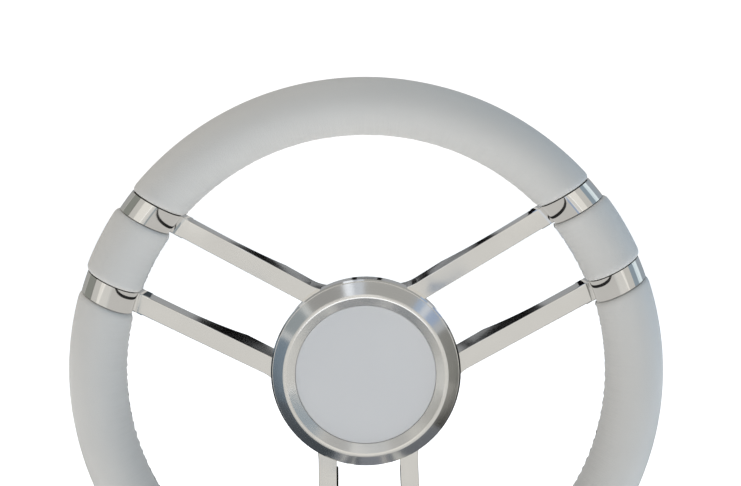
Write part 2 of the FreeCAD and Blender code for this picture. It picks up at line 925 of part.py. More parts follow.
def check_and_export():
    """Stop on any failed object or bad shape, then write one STEP file per node."""
    doc.recompute()
    for thing in doc.Objects:
        if "Invalid" in thing.State or "Error" in thing.State:
            raise ValueError(f"{thing.Name} failed: {thing.State}")
    os.makedirs("parts", exist_ok=True)
    for thing in exported:
        shape = thing.Shape
        if shape.isNull() or not shape.isValid():
            raise ValueError(f"{thing.Label} has no valid shape")
        shape.exportStep(f"parts/{thing.Label}.step")
        print(f"{thing.Label}: {len(shape.Solids)} solids, {shape.Volume / 1000:.2f} cm3")


fill_sheet()
make_spoke_frame()
make_rim()
make_collars()
make_boss()
make_hub_screws()
make_shaft()
make_small_shaft_parts()
make_helm()
make_cap()
check_and_export()
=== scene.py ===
"""Finishes a marine steering wheel: sewn leather grips, polished steel, hub cap and stage."""

import math

import bpy
from bpy.props import FloatProperty, FloatVectorProperty, IntProperty, PointerProperty
from mathutils import Matrix, Vector, noise


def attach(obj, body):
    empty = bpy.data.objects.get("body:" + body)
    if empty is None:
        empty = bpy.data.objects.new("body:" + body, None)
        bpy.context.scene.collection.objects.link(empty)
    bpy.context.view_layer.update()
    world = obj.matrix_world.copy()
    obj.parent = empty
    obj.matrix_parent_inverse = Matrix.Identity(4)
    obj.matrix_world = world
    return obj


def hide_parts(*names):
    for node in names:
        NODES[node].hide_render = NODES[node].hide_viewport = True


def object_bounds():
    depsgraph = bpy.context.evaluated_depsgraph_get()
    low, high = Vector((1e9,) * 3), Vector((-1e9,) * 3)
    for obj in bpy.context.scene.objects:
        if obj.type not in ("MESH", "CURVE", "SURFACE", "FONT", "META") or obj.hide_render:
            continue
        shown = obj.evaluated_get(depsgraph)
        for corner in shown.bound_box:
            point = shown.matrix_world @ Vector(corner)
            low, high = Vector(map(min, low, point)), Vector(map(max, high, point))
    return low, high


bl_info = {
    "name": "Marine steering wheel",
    "version": (1, 0, 0),
    "blender": (4, 5, 0),
    "location": "View3D > Sidebar > Wheel",
    "description": "Builds the soft pieces, finishes and stage of a marine steering wheel",
    "category": "Object",
}

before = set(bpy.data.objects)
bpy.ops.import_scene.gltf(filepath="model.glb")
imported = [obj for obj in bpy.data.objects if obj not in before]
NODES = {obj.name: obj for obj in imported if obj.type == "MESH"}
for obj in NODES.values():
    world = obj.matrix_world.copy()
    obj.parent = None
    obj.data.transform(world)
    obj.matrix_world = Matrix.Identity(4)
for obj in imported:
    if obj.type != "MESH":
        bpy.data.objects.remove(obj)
CAD_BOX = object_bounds()
WHEEL_BODY = "wheel"

PAIR_ANGLES = {"right": 30.0, "left": 150.0, "bottom": 270.0}
LONG_GRIPS = {
    "top": ("right", "left"),
    "port": ("left", "bottom"),
    "starboard": ("bottom", "right"),
}
SHORT_GRIPS = ("right", "left", "bottom")
# How the leather rolls down to its cut end: distance inside the end and drop there,
# as shares of the roll's length and depth.
END_ROLL = (
    (0.0, 1.0),
    (0.01, 0.86),
    (0.04, 0.70),
    (0.09, 0.54),
    (0.16, 0.40),
    (0.25, 0.28),
    (0.36, 0.18),
    (0.49, 0.10),
    (0.64, 0.045),
    (0.80, 0.015),
    (1.0, 0.0),
)
LAY = "leather_lay"
LIFT = "lift"

# Distances in metres.
COLUMN_STEPS = ((0.0026, 0.00025), (0.006, 0.0005))  # within this of the seam, this far apart
COARSE_COLUMN = 0.0011
LAST_COLUMN = 0.0004
ROW_PITCH = 0.00085
LEAST_ROWS = 24
LINING_ROWS = 40
LINING_PLAY = 0.00004
PLAIN_DROP = 0.5  # beyond this share of the roll's depth the leather has no relief
UNEVENNESS = 0.00012
CHANNEL_SPREAD = 0.00060
LIP_HEIGHT, LIP_PLACE, LIP_SPREAD = 0.00022, 0.0018, 0.0010
PINCH_DEPTH, PINCH_LENGTH, PINCH_WIDTH = 0.00055, 0.00085, 0.0009
PUCKER_REACH, PUCKER_START = 0.0065, 0.006
SHARP_PUCKER, SOFT_PUCKER, PUCKER_SINK = 0.00022, 0.00026, 0.0001
THREAD_SINK = 0.0004
SEAM_MARGIN = 0.0032
PATH_STEP = 0.003
LEAST_PATH = 8
# A strand of a crossed stitch: along as a share of the pitch, across as a share of the
# reach, and height. The middle two are the handles that arch it.
STRAND = (
    (-0.04, 1.06, -0.00035),
    (0.05, 0.92, 0.00075),
    (0.30, 0.42, 0.00070),
    (0.46, 0.06, -0.00030),
)
THREAD_SIDES, STRAND_STEPS = 7, 9


# ---------------------------------------------------------------- settings


class RimSettings(bpy.types.PropertyGroup):
    """The sizes of the rim and its covers."""

    ring_radius: FloatProperty(
        name="Ring radius",
        description="From the wheel's axis to the middle of the rim's tube",
        default=0.1585,
        unit="LENGTH",
    )
    rim_depth: FloatProperty(
        name="Rim plane",
        description="Where the middle of the rim lies along the shaft",
        default=-0.090,
        unit="LENGTH",
    )
    long_radius: FloatProperty(
        name="Long grip radius",
        description="Radius of the tube between two pairs of spokes",
        default=0.0165,
        unit="LENGTH",
    )
    short_radius: FloatProperty(
        name="Short grip radius",
        description="Radius of the tube between the spokes of a pair",
        default=0.0172,
        unit="LENGTH",
    )
    leather_thickness: FloatProperty(
        name="Leather thickness",
        description="Thickness of the sewn cover",
        default=0.0014,
        unit="LENGTH",
    )
    spoke_offset: FloatProperty(
        name="Spoke offset",
        description="From the middle of a pair to the middle of either spoke",
        default=0.024,
        unit="LENGTH",
    )
    spoke_splay: FloatProperty(
        name="Spoke splay",
        description="How far each spoke turns away from its pair's middle line",
        default=math.radians(0.88),
        subtype="ANGLE",
    )
    collar_width: FloatProperty(
        name="Collar width",
        description="Width of a collar across its spoke",
        default=0.0124,
        unit="LENGTH",
    )
    collar_gap: FloatProperty(
        name="Collar gap",
        description="Gap between a collar and the leather",
        default=0.0004,
        unit="LENGTH",
    )
    roll_length: FloatProperty(
        name="Rolled end",
        description="Length over which the leather rolls down at a collar",
        default=0.0042,
        unit="LENGTH",
    )
    roll_depth: FloatProperty(
        name="Roll depth",
        description="How far the leather drops at its cut end",
        default=0.0024,
        unit="LENGTH",
    )
    leather_colour: FloatVectorProperty(
        name="Leather colour",
        description="Colour of the grips",
        default=(0.565, 0.552, 0.528),
        subtype="COLOR",
        size=3,
        min=0,
        max=1,
    )


class SeamSettings(bpy.types.PropertyGroup):
    """The laced seam on the inner side of the rim."""

    seam_angle: FloatProperty(
        name="Seam angle",
        description="Where the seam lies round the tube, from its outer side over the front",
        default=math.radians(198.0),
        subtype="ANGLE",
    )
    stitch_pitch: FloatProperty(
        name="Stitch pitch",
        description="Distance from one stitch to the next",
        default=0.0060,
        unit="LENGTH",
    )
    stitch_reach: FloatProperty(
        name="Stitch reach",
        description="From the seam's middle to a stitch hole",
        default=0.0016,
        unit="LENGTH",
    )
    thread_radius: FloatProperty(
        name="Thread radius",
        description="Radius of the waxed thread",
        default=0.00034,
        unit="LENGTH",
    )
    channel_depth: FloatProperty(
        name="Channel depth",
        description="Depth of the groove where the two edges meet",
        default=0.0010,
        unit="LENGTH",
    )
    thread_colour: FloatVectorProperty(
        name="Thread colour",
        description="Colour of the waxed thread",
        default=(0.42, 0.41, 0.39),
        subtype="COLOR",
        size=3,
        min=0,
        max=1,
    )


class SteelSettings(bpy.types.PropertyGroup):
    """The colour and polish of the bright steel."""

    steel_colour: FloatVectorProperty(
        name="Steel colour",
        description="Colour of the polished stainless steel",
        default=(0.80, 0.79, 0.77),
        subtype="COLOR",
        size=3,
        min=0,
        max=1,
    )
    spoke_roughness: FloatProperty(
        name="Spoke roughness",
        description="Roughness of the polished spokes",
        default=0.07,
        min=0,
        max=1,
    )
    collar_roughness: FloatProperty(
        name="Collar roughness",
        description="Roughness of the polished collars",
        default=0.06,
        min=0,
        max=1,
    )
    turned_roughness: FloatProperty(
        name="Turned roughness",
        description="Roughness of the hub cap's turned ring",
        default=0.12,
        min=0,
        max=1,
    )


class CapSettings(bpy.types.PropertyGroup):
    """The flat disc in the hub cap."""

    disc_colour: FloatVectorProperty(
        name="Disc colour",
        description="Colour of the satin disc",
        default=(0.625, 0.62, 0.62),
        subtype="COLOR",
        size=3,
        min=0,
        max=1,
    )


class StageSettings(bpy.types.PropertyGroup):
    """The camera, the floor and the light."""

    lens: FloatProperty(
        name="Lens", description="Focal length in millimetres", default=45.81, min=1
    )
    camera_place: FloatVectorProperty(
        name="Camera place",
        description="Where the camera stands",
        default=(0.00995, -0.63707, 0.13548),
        subtype="TRANSLATION",
        size=3,
    )
    camera_aim: FloatVectorProperty(
        name="Camera aim",
        description="The point the camera looks at",
        default=(0.0050, -0.0900, 0.07924),
        subtype="TRANSLATION",
        size=3,
    )
    camera_roll: FloatProperty(
        name="Camera roll",
        description="Turn of the camera about its line of sight",
        default=math.radians(1.5358),
        subtype="ANGLE",
    )
    fill_strength: FloatProperty(
        name="Fill strength",
        description="Brightness of the even light from all round",
        default=0.27,
        min=0,
    )
    floor_glow: FloatProperty(
        name="Floor glow",
        description="Light that the floor itself gives off",
        default=0.86,
        min=0,
    )
    dome_faces: IntProperty(
        name="Dome faces",
        description="Number of faces round the backdrop's dome",
        default=64,
        min=8,
    )


# ---------------------------------------------------------------- finishes


class Channel:
    """A shader socket that can be used in arithmetic."""

    def __init__(self, finish, socket):
        self.finish = finish
        self.socket = socket

    def join(self, operation, first, second):
        return self.finish.add(
            "ShaderNodeMath", {"operation": operation}, {0: first, 1: second}
        )

    def __add__(self, other):
        return self.join("ADD", self, other)

    def __rsub__(self, other):
        return self.join("SUBTRACT", other, self)

    def __mul__(self, other):
        return self.join("MULTIPLY", self, other)

    def __pow__(self, other):
        return self.join("POWER", self, other)


class Finish:
    """A material under construction."""

    def __init__(self, name):
        self.material = bpy.data.materials.new(name)
        self.material.use_nodes = True
        self.tree = self.material.node_tree
        self.tree.nodes.clear()
        self.coords = None

    def add(self, kind, settings=None, inputs=None, output=0):
        """Adds a node, with its settings first, and returns one of its outputs."""
        node = self.tree.nodes.new(kind)
        for key, value in (settings or {}).items():
            setattr(node, key, value)
        for key, value in (inputs or {}).items():
            socket = node.inputs[key]
            if isinstance(value, Channel):
                self.tree.links.new(value.socket, socket)
            else:
                socket.default_value = value
        return Channel(self, node.outputs[output])

    def object_place(self):
        if self.coords is None:
            self.coords = self.add("ShaderNodeTexCoord", output="Object")
        return self.coords

    def lay_place(self):
        return self.add("ShaderNodeUVMap", {"uv_map": LAY})

    def scaled(self, place, scale):
        return self.add("ShaderNodeMapping", {}, {"Vector": place, "Scale": scale})

    def parts(self, place):
        """The three numbers of a place."""
        node = self.tree.nodes.new("ShaderNodeSeparateXYZ")
        self.tree.links.new(place.socket, node.inputs[0])
        return [Channel(self, socket) for socket in node.outputs]

    def grain(self, place, scale, detail=2.0, rough=0.5, bend=0.0):
        """A soft noise from 0 to 1."""
        return self.add(
            "ShaderNodeTexNoise",
            {"noise_dimensions": "3D"},
            {
                "Vector": place,
                "Scale": scale,
                "Detail": detail,
                "Roughness": rough,
                "Distortion": bend,
            },
        )

    def cells(self, place, scale):
        """The distance from the middle of a cell."""
        return self.add(
            "ShaderNodeTexVoronoi", {"feature": "F1"}, {"Vector": place, "Scale": scale}
        )

    def span(self, value, low, high, to_low=0.0, to_high=1.0):
        """Maps low..high on to to_low..to_high, held at both ends."""
        return self.add(
            "ShaderNodeMapRange",
            {"interpolation_type": "SMOOTHSTEP"},
            {0: value, 1: low, 2: high, 3: to_low, 4: to_high},
        )

    def tint(self, share, low, high):
        """A colour between two, by a share."""
        return self.add(
            "ShaderNodeMix",
            {"data_type": "RGBA"},
            {0: share, 6: (*low, 1), 7: (*high, 1)},
            output=2,
        )

    def relief(self, height, depth):
        """A bump of the given depth in metres."""
        return self.add(
            "ShaderNodeBump", {}, {"Height": height, "Distance": depth, "Strength": 1.0}
        )

    def close(self, values):
        """Feeds the surface shader and returns the material."""
        surface = self.add("ShaderNodeBsdfPrincipled", {}, values)
        out = self.tree.nodes.new("ShaderNodeOutputMaterial")
        self.tree.links.new(surface.socket, out.inputs["Surface"])
        return self.material


def shade(colour, factor):
    return tuple(min(1.0, part * factor) for part in colour)


def leather_finish(colour):
    """Smooth white hide: pebbled grain, folds beside the seam and slight tone changes."""
    f = Finish("white_hide")
    place = f.object_place()
    along, around, _ = f.parts(f.lay_place())
    near_seam = f.span(
        f.add("ShaderNodeMath", {"operation": "ABSOLUTE"}, {0: around}),
        0.002,
        0.034,
        1.0,
        0.0,
    )
    pebbles = f.cells(place, 1250.0)
    pores = f.grain(place, 2600.0, 3.0)
    folds = f.grain(f.scaled(f.lay_place(), (620.0, 42.0, 1.0)), 1.0, 3.0, 0.55, 0.4)
    fine_folds = f.grain(f.scaled(f.lay_place(), (1300.0, 90.0, 1.0)), 1.0, 2.0)
    patches = f.grain(place, 24.0, 3.0, 0.55)
    pulls = f.span(folds, 0.40, 0.62) * near_seam
    tone = patches * 0.6 + f.span(pores, 0.3, 0.7) * 0.12 + (1 - pulls) * 0.28
    height = (
        f.span(pebbles, 0.0, 0.7) * 0.35
        + pores * 0.25
        + folds * near_seam * 1.6
        + fine_folds * (near_seam * 0.6 + 0.15)
    )
    return f.close(
        {
            "Base Color": f.tint(tone, shade(colour, 0.93), shade(colour, 1.05)),
            "Roughness": patches * 0.10 + (1 - near_seam) * 0.04 + 0.40,
            "Normal": f.relief(height, 0.00011),
            "Specular IOR Level": 0.42,
            "Sheen Weight": 0.08,
            "Sheen Roughness": 0.5,
        }
    )


def thread_finish(colour):
    """Waxed, twisted thread."""
    f = Finish("waxed_thread")
    place = f.object_place()
    twist = f.add(
        "ShaderNodeTexWave",
        {"bands_direction": "DIAGONAL"},
        {"Vector": place, "Scale": 900.0, "Distortion": 1.0},
    )
    fuzz = f.grain(place, 4000.0, 2.0)
    return f.close(
        {
            "Base Color": f.tint(
                twist * 0.7 + fuzz * 0.3, shade(colour, 0.7), shade(colour, 1.15)
            ),
            "Roughness": fuzz * 0.15 + 0.45,
            "Normal": f.relief(twist, 0.00006),
        }
    )


def mirror_steel(name, colour, roughness, ripple=0.00005):
    """Mirror-polished stainless steel with a soft ripple and faint buffing haze."""
    f = Finish(name)
    place = f.object_place()
    haze = f.grain(place, 38.0, 4.0, 0.6)
    buffing = f.grain(f.scaled(place, (900.0, 900.0, 900.0)), 1.0, 2.0)
    swell = f.grain(place, 22.0, 1.0)
    return f.close(
        {
            "Base Color": f.tint(haze, shade(colour, 0.95), shade(colour, 1.03)),
            "Metallic": 1.0,
            "Roughness": f.span(haze, 0.3, 0.7, roughness * 0.75, roughness * 1.5)
            + buffing * 0.02,
            "Normal": f.relief(swell + buffing * 0.004, ripple * 10),
        }
    )


def turned_steel(name, colour, roughness, groove=0.000012):
    """Steel turned in a lathe: fine rings about the shaft's axis."""
    f = Finish(name)
    place = f.object_place()
    across, deep, up = f.parts(place)
    ring = (across * across + up * up) ** 0.5
    track = f.add("ShaderNodeCombineXYZ", {}, {0: ring, 1: deep})
    grooves = f.grain(f.scaled(track, (5200.0, 5200.0, 1.0)), 1.0, 3.0, 0.6)
    bands = f.grain(f.scaled(track, (520.0, 520.0, 1.0)), 1.0, 2.0)
    haze = f.grain(place, 45.0, 3.0)
    return f.close(
        {
            "Base Color": f.tint(
                haze * 0.5 + bands * 0.5, shade(colour, 0.94), shade(colour, 1.04)
            ),
            "Metallic": 1.0,
            "Roughness": bands * 0.08 + haze * 0.05 + roughness,
            "Normal": f.relief(grooves, groove),
        }
    )


def plain_steel(name, colour, roughness):
    """Drawn or machined steel with fine scratches."""
    f = Finish(name)
    place = f.object_place()
    scratches = f.grain(f.scaled(place, (400.0, 3000.0, 400.0)), 1.0, 3.0, 0.6)
    stain = f.grain(place, 60.0, 3.0)
    return f.close(
        {
            "Base Color": f.tint(stain, shade(colour, 0.85), shade(colour, 1.05)),
            "Metallic": 1.0,
            "Roughness": scratches * 0.14 + stain * 0.06 + roughness,
            "Normal": f.relief(scratches, 0.00001),
        }
    )


def satin_plastic(name, colour, roughness, grit=0.00001, scale=2500.0):
    """Moulded plastic with a fine even texture."""
    f = Finish(name)
    place = f.object_place()
    texture = f.grain(place, scale, 3.0, 0.6)
    flow = f.grain(place, 16.0, 2.0)
    return f.close(
        {
            "Base Color": f.tint(flow, shade(colour, 0.97), shade(colour, 1.02)),
            "Roughness": texture * 0.08 + flow * 0.04 + roughness,
            "Normal": f.relief(texture, grit),
            "Specular IOR Level": 0.4,
        }
    )


def foam_finish():
    """Dark moulded foam with open pores."""
    f = Finish("moulded_foam")
    place = f.object_place()
    pores = f.span(f.cells(place, 900.0), 0.1, 0.6)
    return f.close(
        {
            "Base Color": f.tint(pores, (0.012, 0.012, 0.013), (0.05, 0.05, 0.052)),
            "Roughness": pores * 0.1 + 0.8,
            "Normal": f.relief(pores, 0.0002),
        }
    )


def cast_metal_finish(name, colour):
    """Fine-blasted and anodised casting."""
    f = Finish(name)
    place = f.object_place()
    blast = f.grain(place, 1800.0, 3.0, 0.6)
    cloud = f.grain(place, 30.0, 3.0)
    return f.close(
        {
            "Base Color": f.tint(cloud, shade(colour, 0.9), shade(colour, 1.05)),
            "Metallic": 1.0,
            "Roughness": blast * 0.12 + cloud * 0.06 + 0.36,
            "Normal": f.relief(blast, 0.00003),
        }
    )


def cover_with(material, *names):
    """Gives CAD nodes a material."""
    for name in names:
        slots = NODES[name].data.materials
        if not slots:
            slots.append(material)
        for index in range(len(slots)):
            slots[index] = material


# ---------------------------------------------------------------- leather


def spoke_line(pair, side, rim, share):
    """A spoke's direction, and how far from the axis the cut line beside it passes."""
    angle = math.radians(PAIR_ANGLES[pair]) + side * rim.spoke_splay
    reach = rim.spoke_offset + share * (rim.collar_width / 2 + rim.collar_gap)
    return angle, side * reach


def grip_ends(name, rim):
    """The two cut lines of a grip."""
    if name in LONG_GRIPS:
        first, second = LONG_GRIPS[name]
        return spoke_line(first, 1, rim, 1), spoke_line(second, -1, rim, 1)
    return spoke_line(name, -1, rim, -1), spoke_line(name, 1, rim, -1)


def cut_angle(end, step, inside, reach):
    """The angle about the axis of the point at that reach, a distance inside the cut line."""
    angle, line = end
    return angle + math.asin((line + step * inside) / reach)


def columns_round(radius):
    """Places round the tube, measured from the seam, close together beside it."""
    half = math.pi * radius
    places, here = [0.0], 0.0
    while here < half - COARSE_COLUMN:
        near = (step for limit, step in COLUMN_STEPS if here < limit)
        here += next(near, COARSE_COLUMN)
        places.append(min(here, half))
    if half - places[-1] > LAST_COLUMN:
        places.append(half)
    return [-place for place in reversed(places[1:])] + places[:-1]


def bell(distance, spread):
    return math.exp(-((distance / spread) ** 2))


def leather_height(along, beside, radius, seam, ends):
    """How far the leather stands above its plain tube."""
    gap = abs(beside)
    slow = noise.noise(Vector((along * 22, beside * 30, radius * 900)))
    height = UNEVENNESS * slow
    height -= seam.channel_depth * bell(gap, CHANNEL_SPREAD)
    height += LIP_HEIGHT * bell(gap - LIP_PLACE, LIP_SPREAD)
    hole = (along / seam.stitch_pitch) % 1.0
    hole = min(hole, 1 - hole) * seam.stitch_pitch
    pinch = bell(hole, PINCH_LENGTH)
    height -= PINCH_DEPTH * pinch * bell(gap - seam.stitch_reach, PINCH_WIDTH)
    fade = math.exp(-gap / PUCKER_REACH) * min(1.0, ends / PUCKER_START)
    pull = noise.noise(Vector((along * 430, beside * 60, 7.0 + math.copysign(2.0, beside))))
    soft = noise.noise(Vector((along * 190, beside * 35, 3.0 + math.copysign(2.0, beside))))
    height += fade * (SHARP_PUCKER * (1 - 2 * abs(pull)) + SOFT_PUCKER * soft - PUCKER_SINK)
    return height


def sleeve_mesh(name, radius, rim, seam):
    """A leather sleeve with rolled ends and a laced channel, and its flat size."""
    start, end = grip_ends(name, rim)
    columns = columns_round(radius)
    lining = rim.leather_thickness - LINING_PLAY
    roll = rim.roll_length
    mean = cut_angle(end, -1, roll, rim.ring_radius) - cut_angle(start, 1, roll, rim.ring_radius)
    mean %= 2 * math.pi
    count = max(LEAST_ROWS, round(mean * rim.ring_radius / ROW_PITCH))
    rows = [(inside * roll, 0.0, drop) for inside, drop in END_ROLL]
    rows += [(roll, (step + 1) / count, 0.0) for step in range(count - 1)]
    rows += [(inside * roll, 1.0, drop) for inside, drop in reversed(END_ROLL)]
    vertices, lays = [], []

    def put(inside, share, tube, place, lift):
        turn = seam.seam_angle + place / radius
        reach = rim.ring_radius + tube * math.cos(turn)
        low = cut_angle(start, 1, inside, reach)
        high = cut_angle(end, -1, inside, reach)
        while high < low:
            high += 2 * math.pi
        angle = low + (high - low) * share
        along = (angle - start[0]) * rim.ring_radius
        left = (high - low) * rim.ring_radius
        ends = inside + min(share, 1 - share) * left
        if lift:
            tube += leather_height(along, place, radius, seam, ends)
            reach = rim.ring_radius + tube * math.cos(turn)
        vertices.append(
            (
                reach * math.cos(angle),
                rim.rim_depth - tube * math.sin(turn),
                reach * math.sin(angle),
            )
        )
        lays.append((along, place))

    for inside, share, drop in rows:
        for place in columns:
            put(inside, share, radius - drop * rim.roll_depth, place, drop < PLAIN_DROP)
    inner_rows = [row for row in rows if row[1] in (0.0, 1.0)]
    half = len(inner_rows) // 2
    inner_rows[half:half] = [(roll, step / LINING_ROWS, 0.0) for step in range(1, LINING_ROWS)]
    for inside, share, drop in reversed(inner_rows):
        for place in columns:
            put(inside, share, radius - drop * rim.roll_depth - lining, place, False)

    wide, total = len(columns), len(rows) + len(inner_rows)
    full = 2 * math.pi * radius
    faces, loops = [], []
    for row in range(total):
        after = (row + 1) % total
        for column in range(wide):
            beside = (column + 1) % wide
            corners = (
                row * wide + column,
                row * wide + beside,
                after * wide + beside,
                after * wide + column,
            )
            faces.append(corners)
            wrap = full if beside == 0 else 0.0
            for corner, extra in zip(corners, (0.0, wrap, wrap, 0.0)):
                loops.append((lays[corner][0], lays[corner][1] + extra))
    mesh = bpy.data.meshes.new(f"hide_{name}")
    mesh.from_pydata(vertices, [], faces)
    lay = mesh.uv_layers.new(name=LAY)
    for item, value in zip(lay.data, loops):
        item.uv = value
    mesh.polygons.foreach_set("use_smooth", [True] * len(mesh.polygons))
    if signed_volume(mesh) < 0:
        mesh.flip_normals()
    mesh.update()
    length = mean * rim.ring_radius + 2 * roll
    return mesh, (full, length)


def signed_volume(mesh):
    """Positive when the faces point outwards."""
    mesh.calc_loop_triangles()
    points = [vertex.co for vertex in mesh.vertices]
    return sum(
        points[a].dot(points[b].cross(points[c])) / 6
        for a, b, c in (triangle.vertices for triangle in mesh.loop_triangles)
    )


def wrap_grip(name, radius, node, settings):
    """Puts a sewn sleeve in place of a plain grip."""
    rim, seam = settings.wheel_rim, settings.wheel_seam
    mesh, flat = sleeve_mesh(name, radius, rim, seam)
    material = bpy.data.materials.get("white_hide") or leather_finish(rim.leather_colour)
    mesh.materials.append(material)
    piece = bpy.data.objects.new(f"hide_{node}", mesh)
    bpy.context.scene.collection.objects.link(piece)
    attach(piece, WHEEL_BODY)
    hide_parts(f"leather_grip_{node}")
    return piece


def seam_paths(settings):
    """The lines of the seams, with the direction out of the leather kept at each point."""
    rim, seam = settings.wheel_rim, settings.wheel_seam
    vertices, edges, lifts = [], [], []
    for name in (*LONG_GRIPS, *SHORT_GRIPS):
        radius = rim.long_radius if name in LONG_GRIPS else rim.short_radius
        start, end = grip_ends(name, rim)
        tube = radius - THREAD_SINK
        reach = rim.ring_radius + tube * math.cos(seam.seam_angle)
        low = cut_angle(start, 1, SEAM_MARGIN, reach)
        high = cut_angle(end, -1, SEAM_MARGIN, reach)
        while high < low:
            high += 2 * math.pi
        first = len(vertices)
        count = max(LEAST_PATH, round((high - low) * reach / PATH_STEP))
        pitch = seam.stitch_pitch / rim.ring_radius
        low += pitch - (low - start[0]) % pitch
        for step in range(count + 1):
            angle = low + (high - low) * step / count
            out = Vector((math.cos(angle), 0, math.sin(angle)))
            deep = rim.rim_depth - tube * math.sin(seam.seam_angle)
            vertices.append(out * reach + Vector((0, deep, 0)))
            rise = Vector((0, math.sin(seam.seam_angle), 0))
            lifts.append(out * math.cos(seam.seam_angle) - rise)
            if step:
                edges.append((first + step - 1, first + step))
    mesh = bpy.data.meshes.new("seam_paths")
    mesh.from_pydata(vertices, edges, [])
    kept = mesh.attributes.new(LIFT, "FLOAT_VECTOR", "POINT")
    for item, lift in zip(kept.data, lifts):
        item.vector = lift
    return mesh


def add_node(tree, kind, settings=None, inputs=None):
    """Adds a geometry node, sets it, and links or fills its inputs."""
    node = tree.nodes.new(kind)
    for key, value in (settings or {}).items():
        setattr(node, key, value)
    for key, value in (inputs or {}).items():
        if isinstance(value, bpy.types.NodeSocket):
            tree.links.new(value, node.inputs[key])
        else:
            node.inputs[key].default_value = value
    return node


def stitch_tree(material):
    """Lays a crossed stitch at every pitch along a seam."""
    tree = bpy.data.node_groups.new("laced_stitches", "GeometryNodeTree")
    face = tree.interface
    face.new_socket("Seams", in_out="INPUT", socket_type="NodeSocketGeometry")
    for label in ("Pitch", "Reach", "Thread"):
        face.new_socket(label, in_out="INPUT", socket_type="NodeSocketFloat")
    face.new_socket("Stitches", in_out="OUTPUT", socket_type="NodeSocketGeometry")
    enter = tree.nodes.new("NodeGroupInput").outputs
    leave = tree.nodes.new("NodeGroupOutput").inputs
    line = add_node(tree, "GeometryNodeMeshToCurve", {}, {"Mesh": enter["Seams"]})
    spaced = add_node(
        tree,
        "GeometryNodeResampleCurve",
        {"mode": "LENGTH"},
        {"Curve": line.outputs["Curve"], "Length": enter["Pitch"]},
    )
    profile = add_node(
        tree,
        "GeometryNodeCurvePrimitiveCircle",
        {"mode": "RADIUS"},
        {"Resolution": THREAD_SIDES, "Radius": enter["Thread"]},
    )
    both = tree.nodes.new("GeometryNodeJoinGeometry")
    for side in (1, -1):
        ends = []
        times = {"operation": "MULTIPLY"}
        for along, across, up in STRAND:
            forward = add_node(tree, "ShaderNodeMath", times, {0: enter["Pitch"], 1: along})
            sideways = add_node(
                tree, "ShaderNodeMath", times, {0: enter["Reach"], 1: across * side}
            )
            point = add_node(
                tree,
                "ShaderNodeCombineXYZ",
                {},
                {0: forward.outputs[0], 1: sideways.outputs[0], 2: up},
            )
            ends.append(point.outputs[0])
        strand = add_node(
            tree,
            "GeometryNodeCurvePrimitiveBezierSegment",
            {"mode": "POSITION"},
            {
                "Resolution": STRAND_STEPS,
                "Start": ends[0],
                "Start Handle": ends[1],
                "End Handle": ends[2],
                "End": ends[3],
            },
        )
        solid = add_node(
            tree,
            "GeometryNodeCurveToMesh",
            {},
            {"Curve": strand.outputs[0], "Profile Curve": profile.outputs[0], "Fill Caps": True},
        )
        tree.links.new(solid.outputs[0], both.inputs[0])
    tangent = tree.nodes.new("GeometryNodeInputTangent")
    lift = add_node(
        tree, "GeometryNodeInputNamedAttribute", {"data_type": "FLOAT_VECTOR"}, {"Name": LIFT}
    )
    aim = add_node(
        tree,
        "FunctionNodeAxesToRotation",
        {"primary_axis": "Z", "secondary_axis": "X"},
        {0: lift.outputs[0], 1: tangent.outputs[0]},
    )
    laid = add_node(
        tree,
        "GeometryNodeInstanceOnPoints",
        {},
        {"Points": spaced.outputs[0], "Instance": both.outputs[0], "Rotation": aim.outputs[0]},
    )
    real = add_node(tree, "GeometryNodeRealizeInstances", {}, {"Geometry": laid.outputs[0]})
    smooth = add_node(tree, "GeometryNodeSetShadeSmooth", {}, {"Geometry": real.outputs[0]})
    painted = add_node(
        tree, "GeometryNodeSetMaterial", {}, {"Geometry": smooth.outputs[0], "Material": material}
    )
    tree.links.new(painted.outputs[0], leave[0])
    return tree


def grown_mesh(source, tree, values, name):
    """Runs a tree on a mesh and returns the plain mesh it makes."""
    host = bpy.data.objects.new(f"{name}_host", source)
    bpy.context.scene.collection.objects.link(host)
    modifier = host.modifiers.new("grow", "NODES")
    modifier.node_group = tree
    for item in tree.interface.items_tree:
        if item.in_out == "INPUT" and item.name in values:
            modifier[item.identifier] = values[item.name]
    depsgraph = bpy.context.evaluated_depsgraph_get()
    mesh = bpy.data.meshes.new_from_object(host.evaluated_get(depsgraph))
    mesh.name = name
    bpy.data.objects.remove(host)
    return mesh


# ---------------------------------------------------------------- stage


FLOOR_LEVEL = CAD_BOX[0][2] - 0.0005
STAGE_RADIUS = 4.0
DOME_RINGS = 16
DOME_GLOW = 1.1
SKY = (0.66, 0.83, 1.0)
ARC_STEP = 5  # degrees
# Area lights: place, aim, width, height, colour, brightness.
SOFTBOXES = {
    "front_light": ((-0.1, -1.7, 0.30), (0.0, 0.0, 0.05), 2.2, 1.7, (1.0, 0.965, 0.90), 0.26),
    "top_light": ((-0.10, -1.25, 1.45), (0.0, -0.05, 0.0), 1.0, 0.5, (1.0, 0.98, 0.94), 0.55),
    "over_light": ((-0.1, 0.05, 1.65), (0.0, -0.09, 0.0), 1.1, 0.9, (1.0, 0.985, 0.96), 2.1),
    "right_light": ((1.4, -0.20, 0.35), (0.0, -0.09, 0.0), 0.8, 1.3, (0.38, 0.68, 1.0), 1.25),
    "left_light": ((-1.05, -0.25, 1.15), (0.0, -0.09, 0.0), 1.0, 1.2, (1.0, 0.84, 0.66), 1.6),
}
MIRRORED_LIGHTS = ("front_light", "top_light")
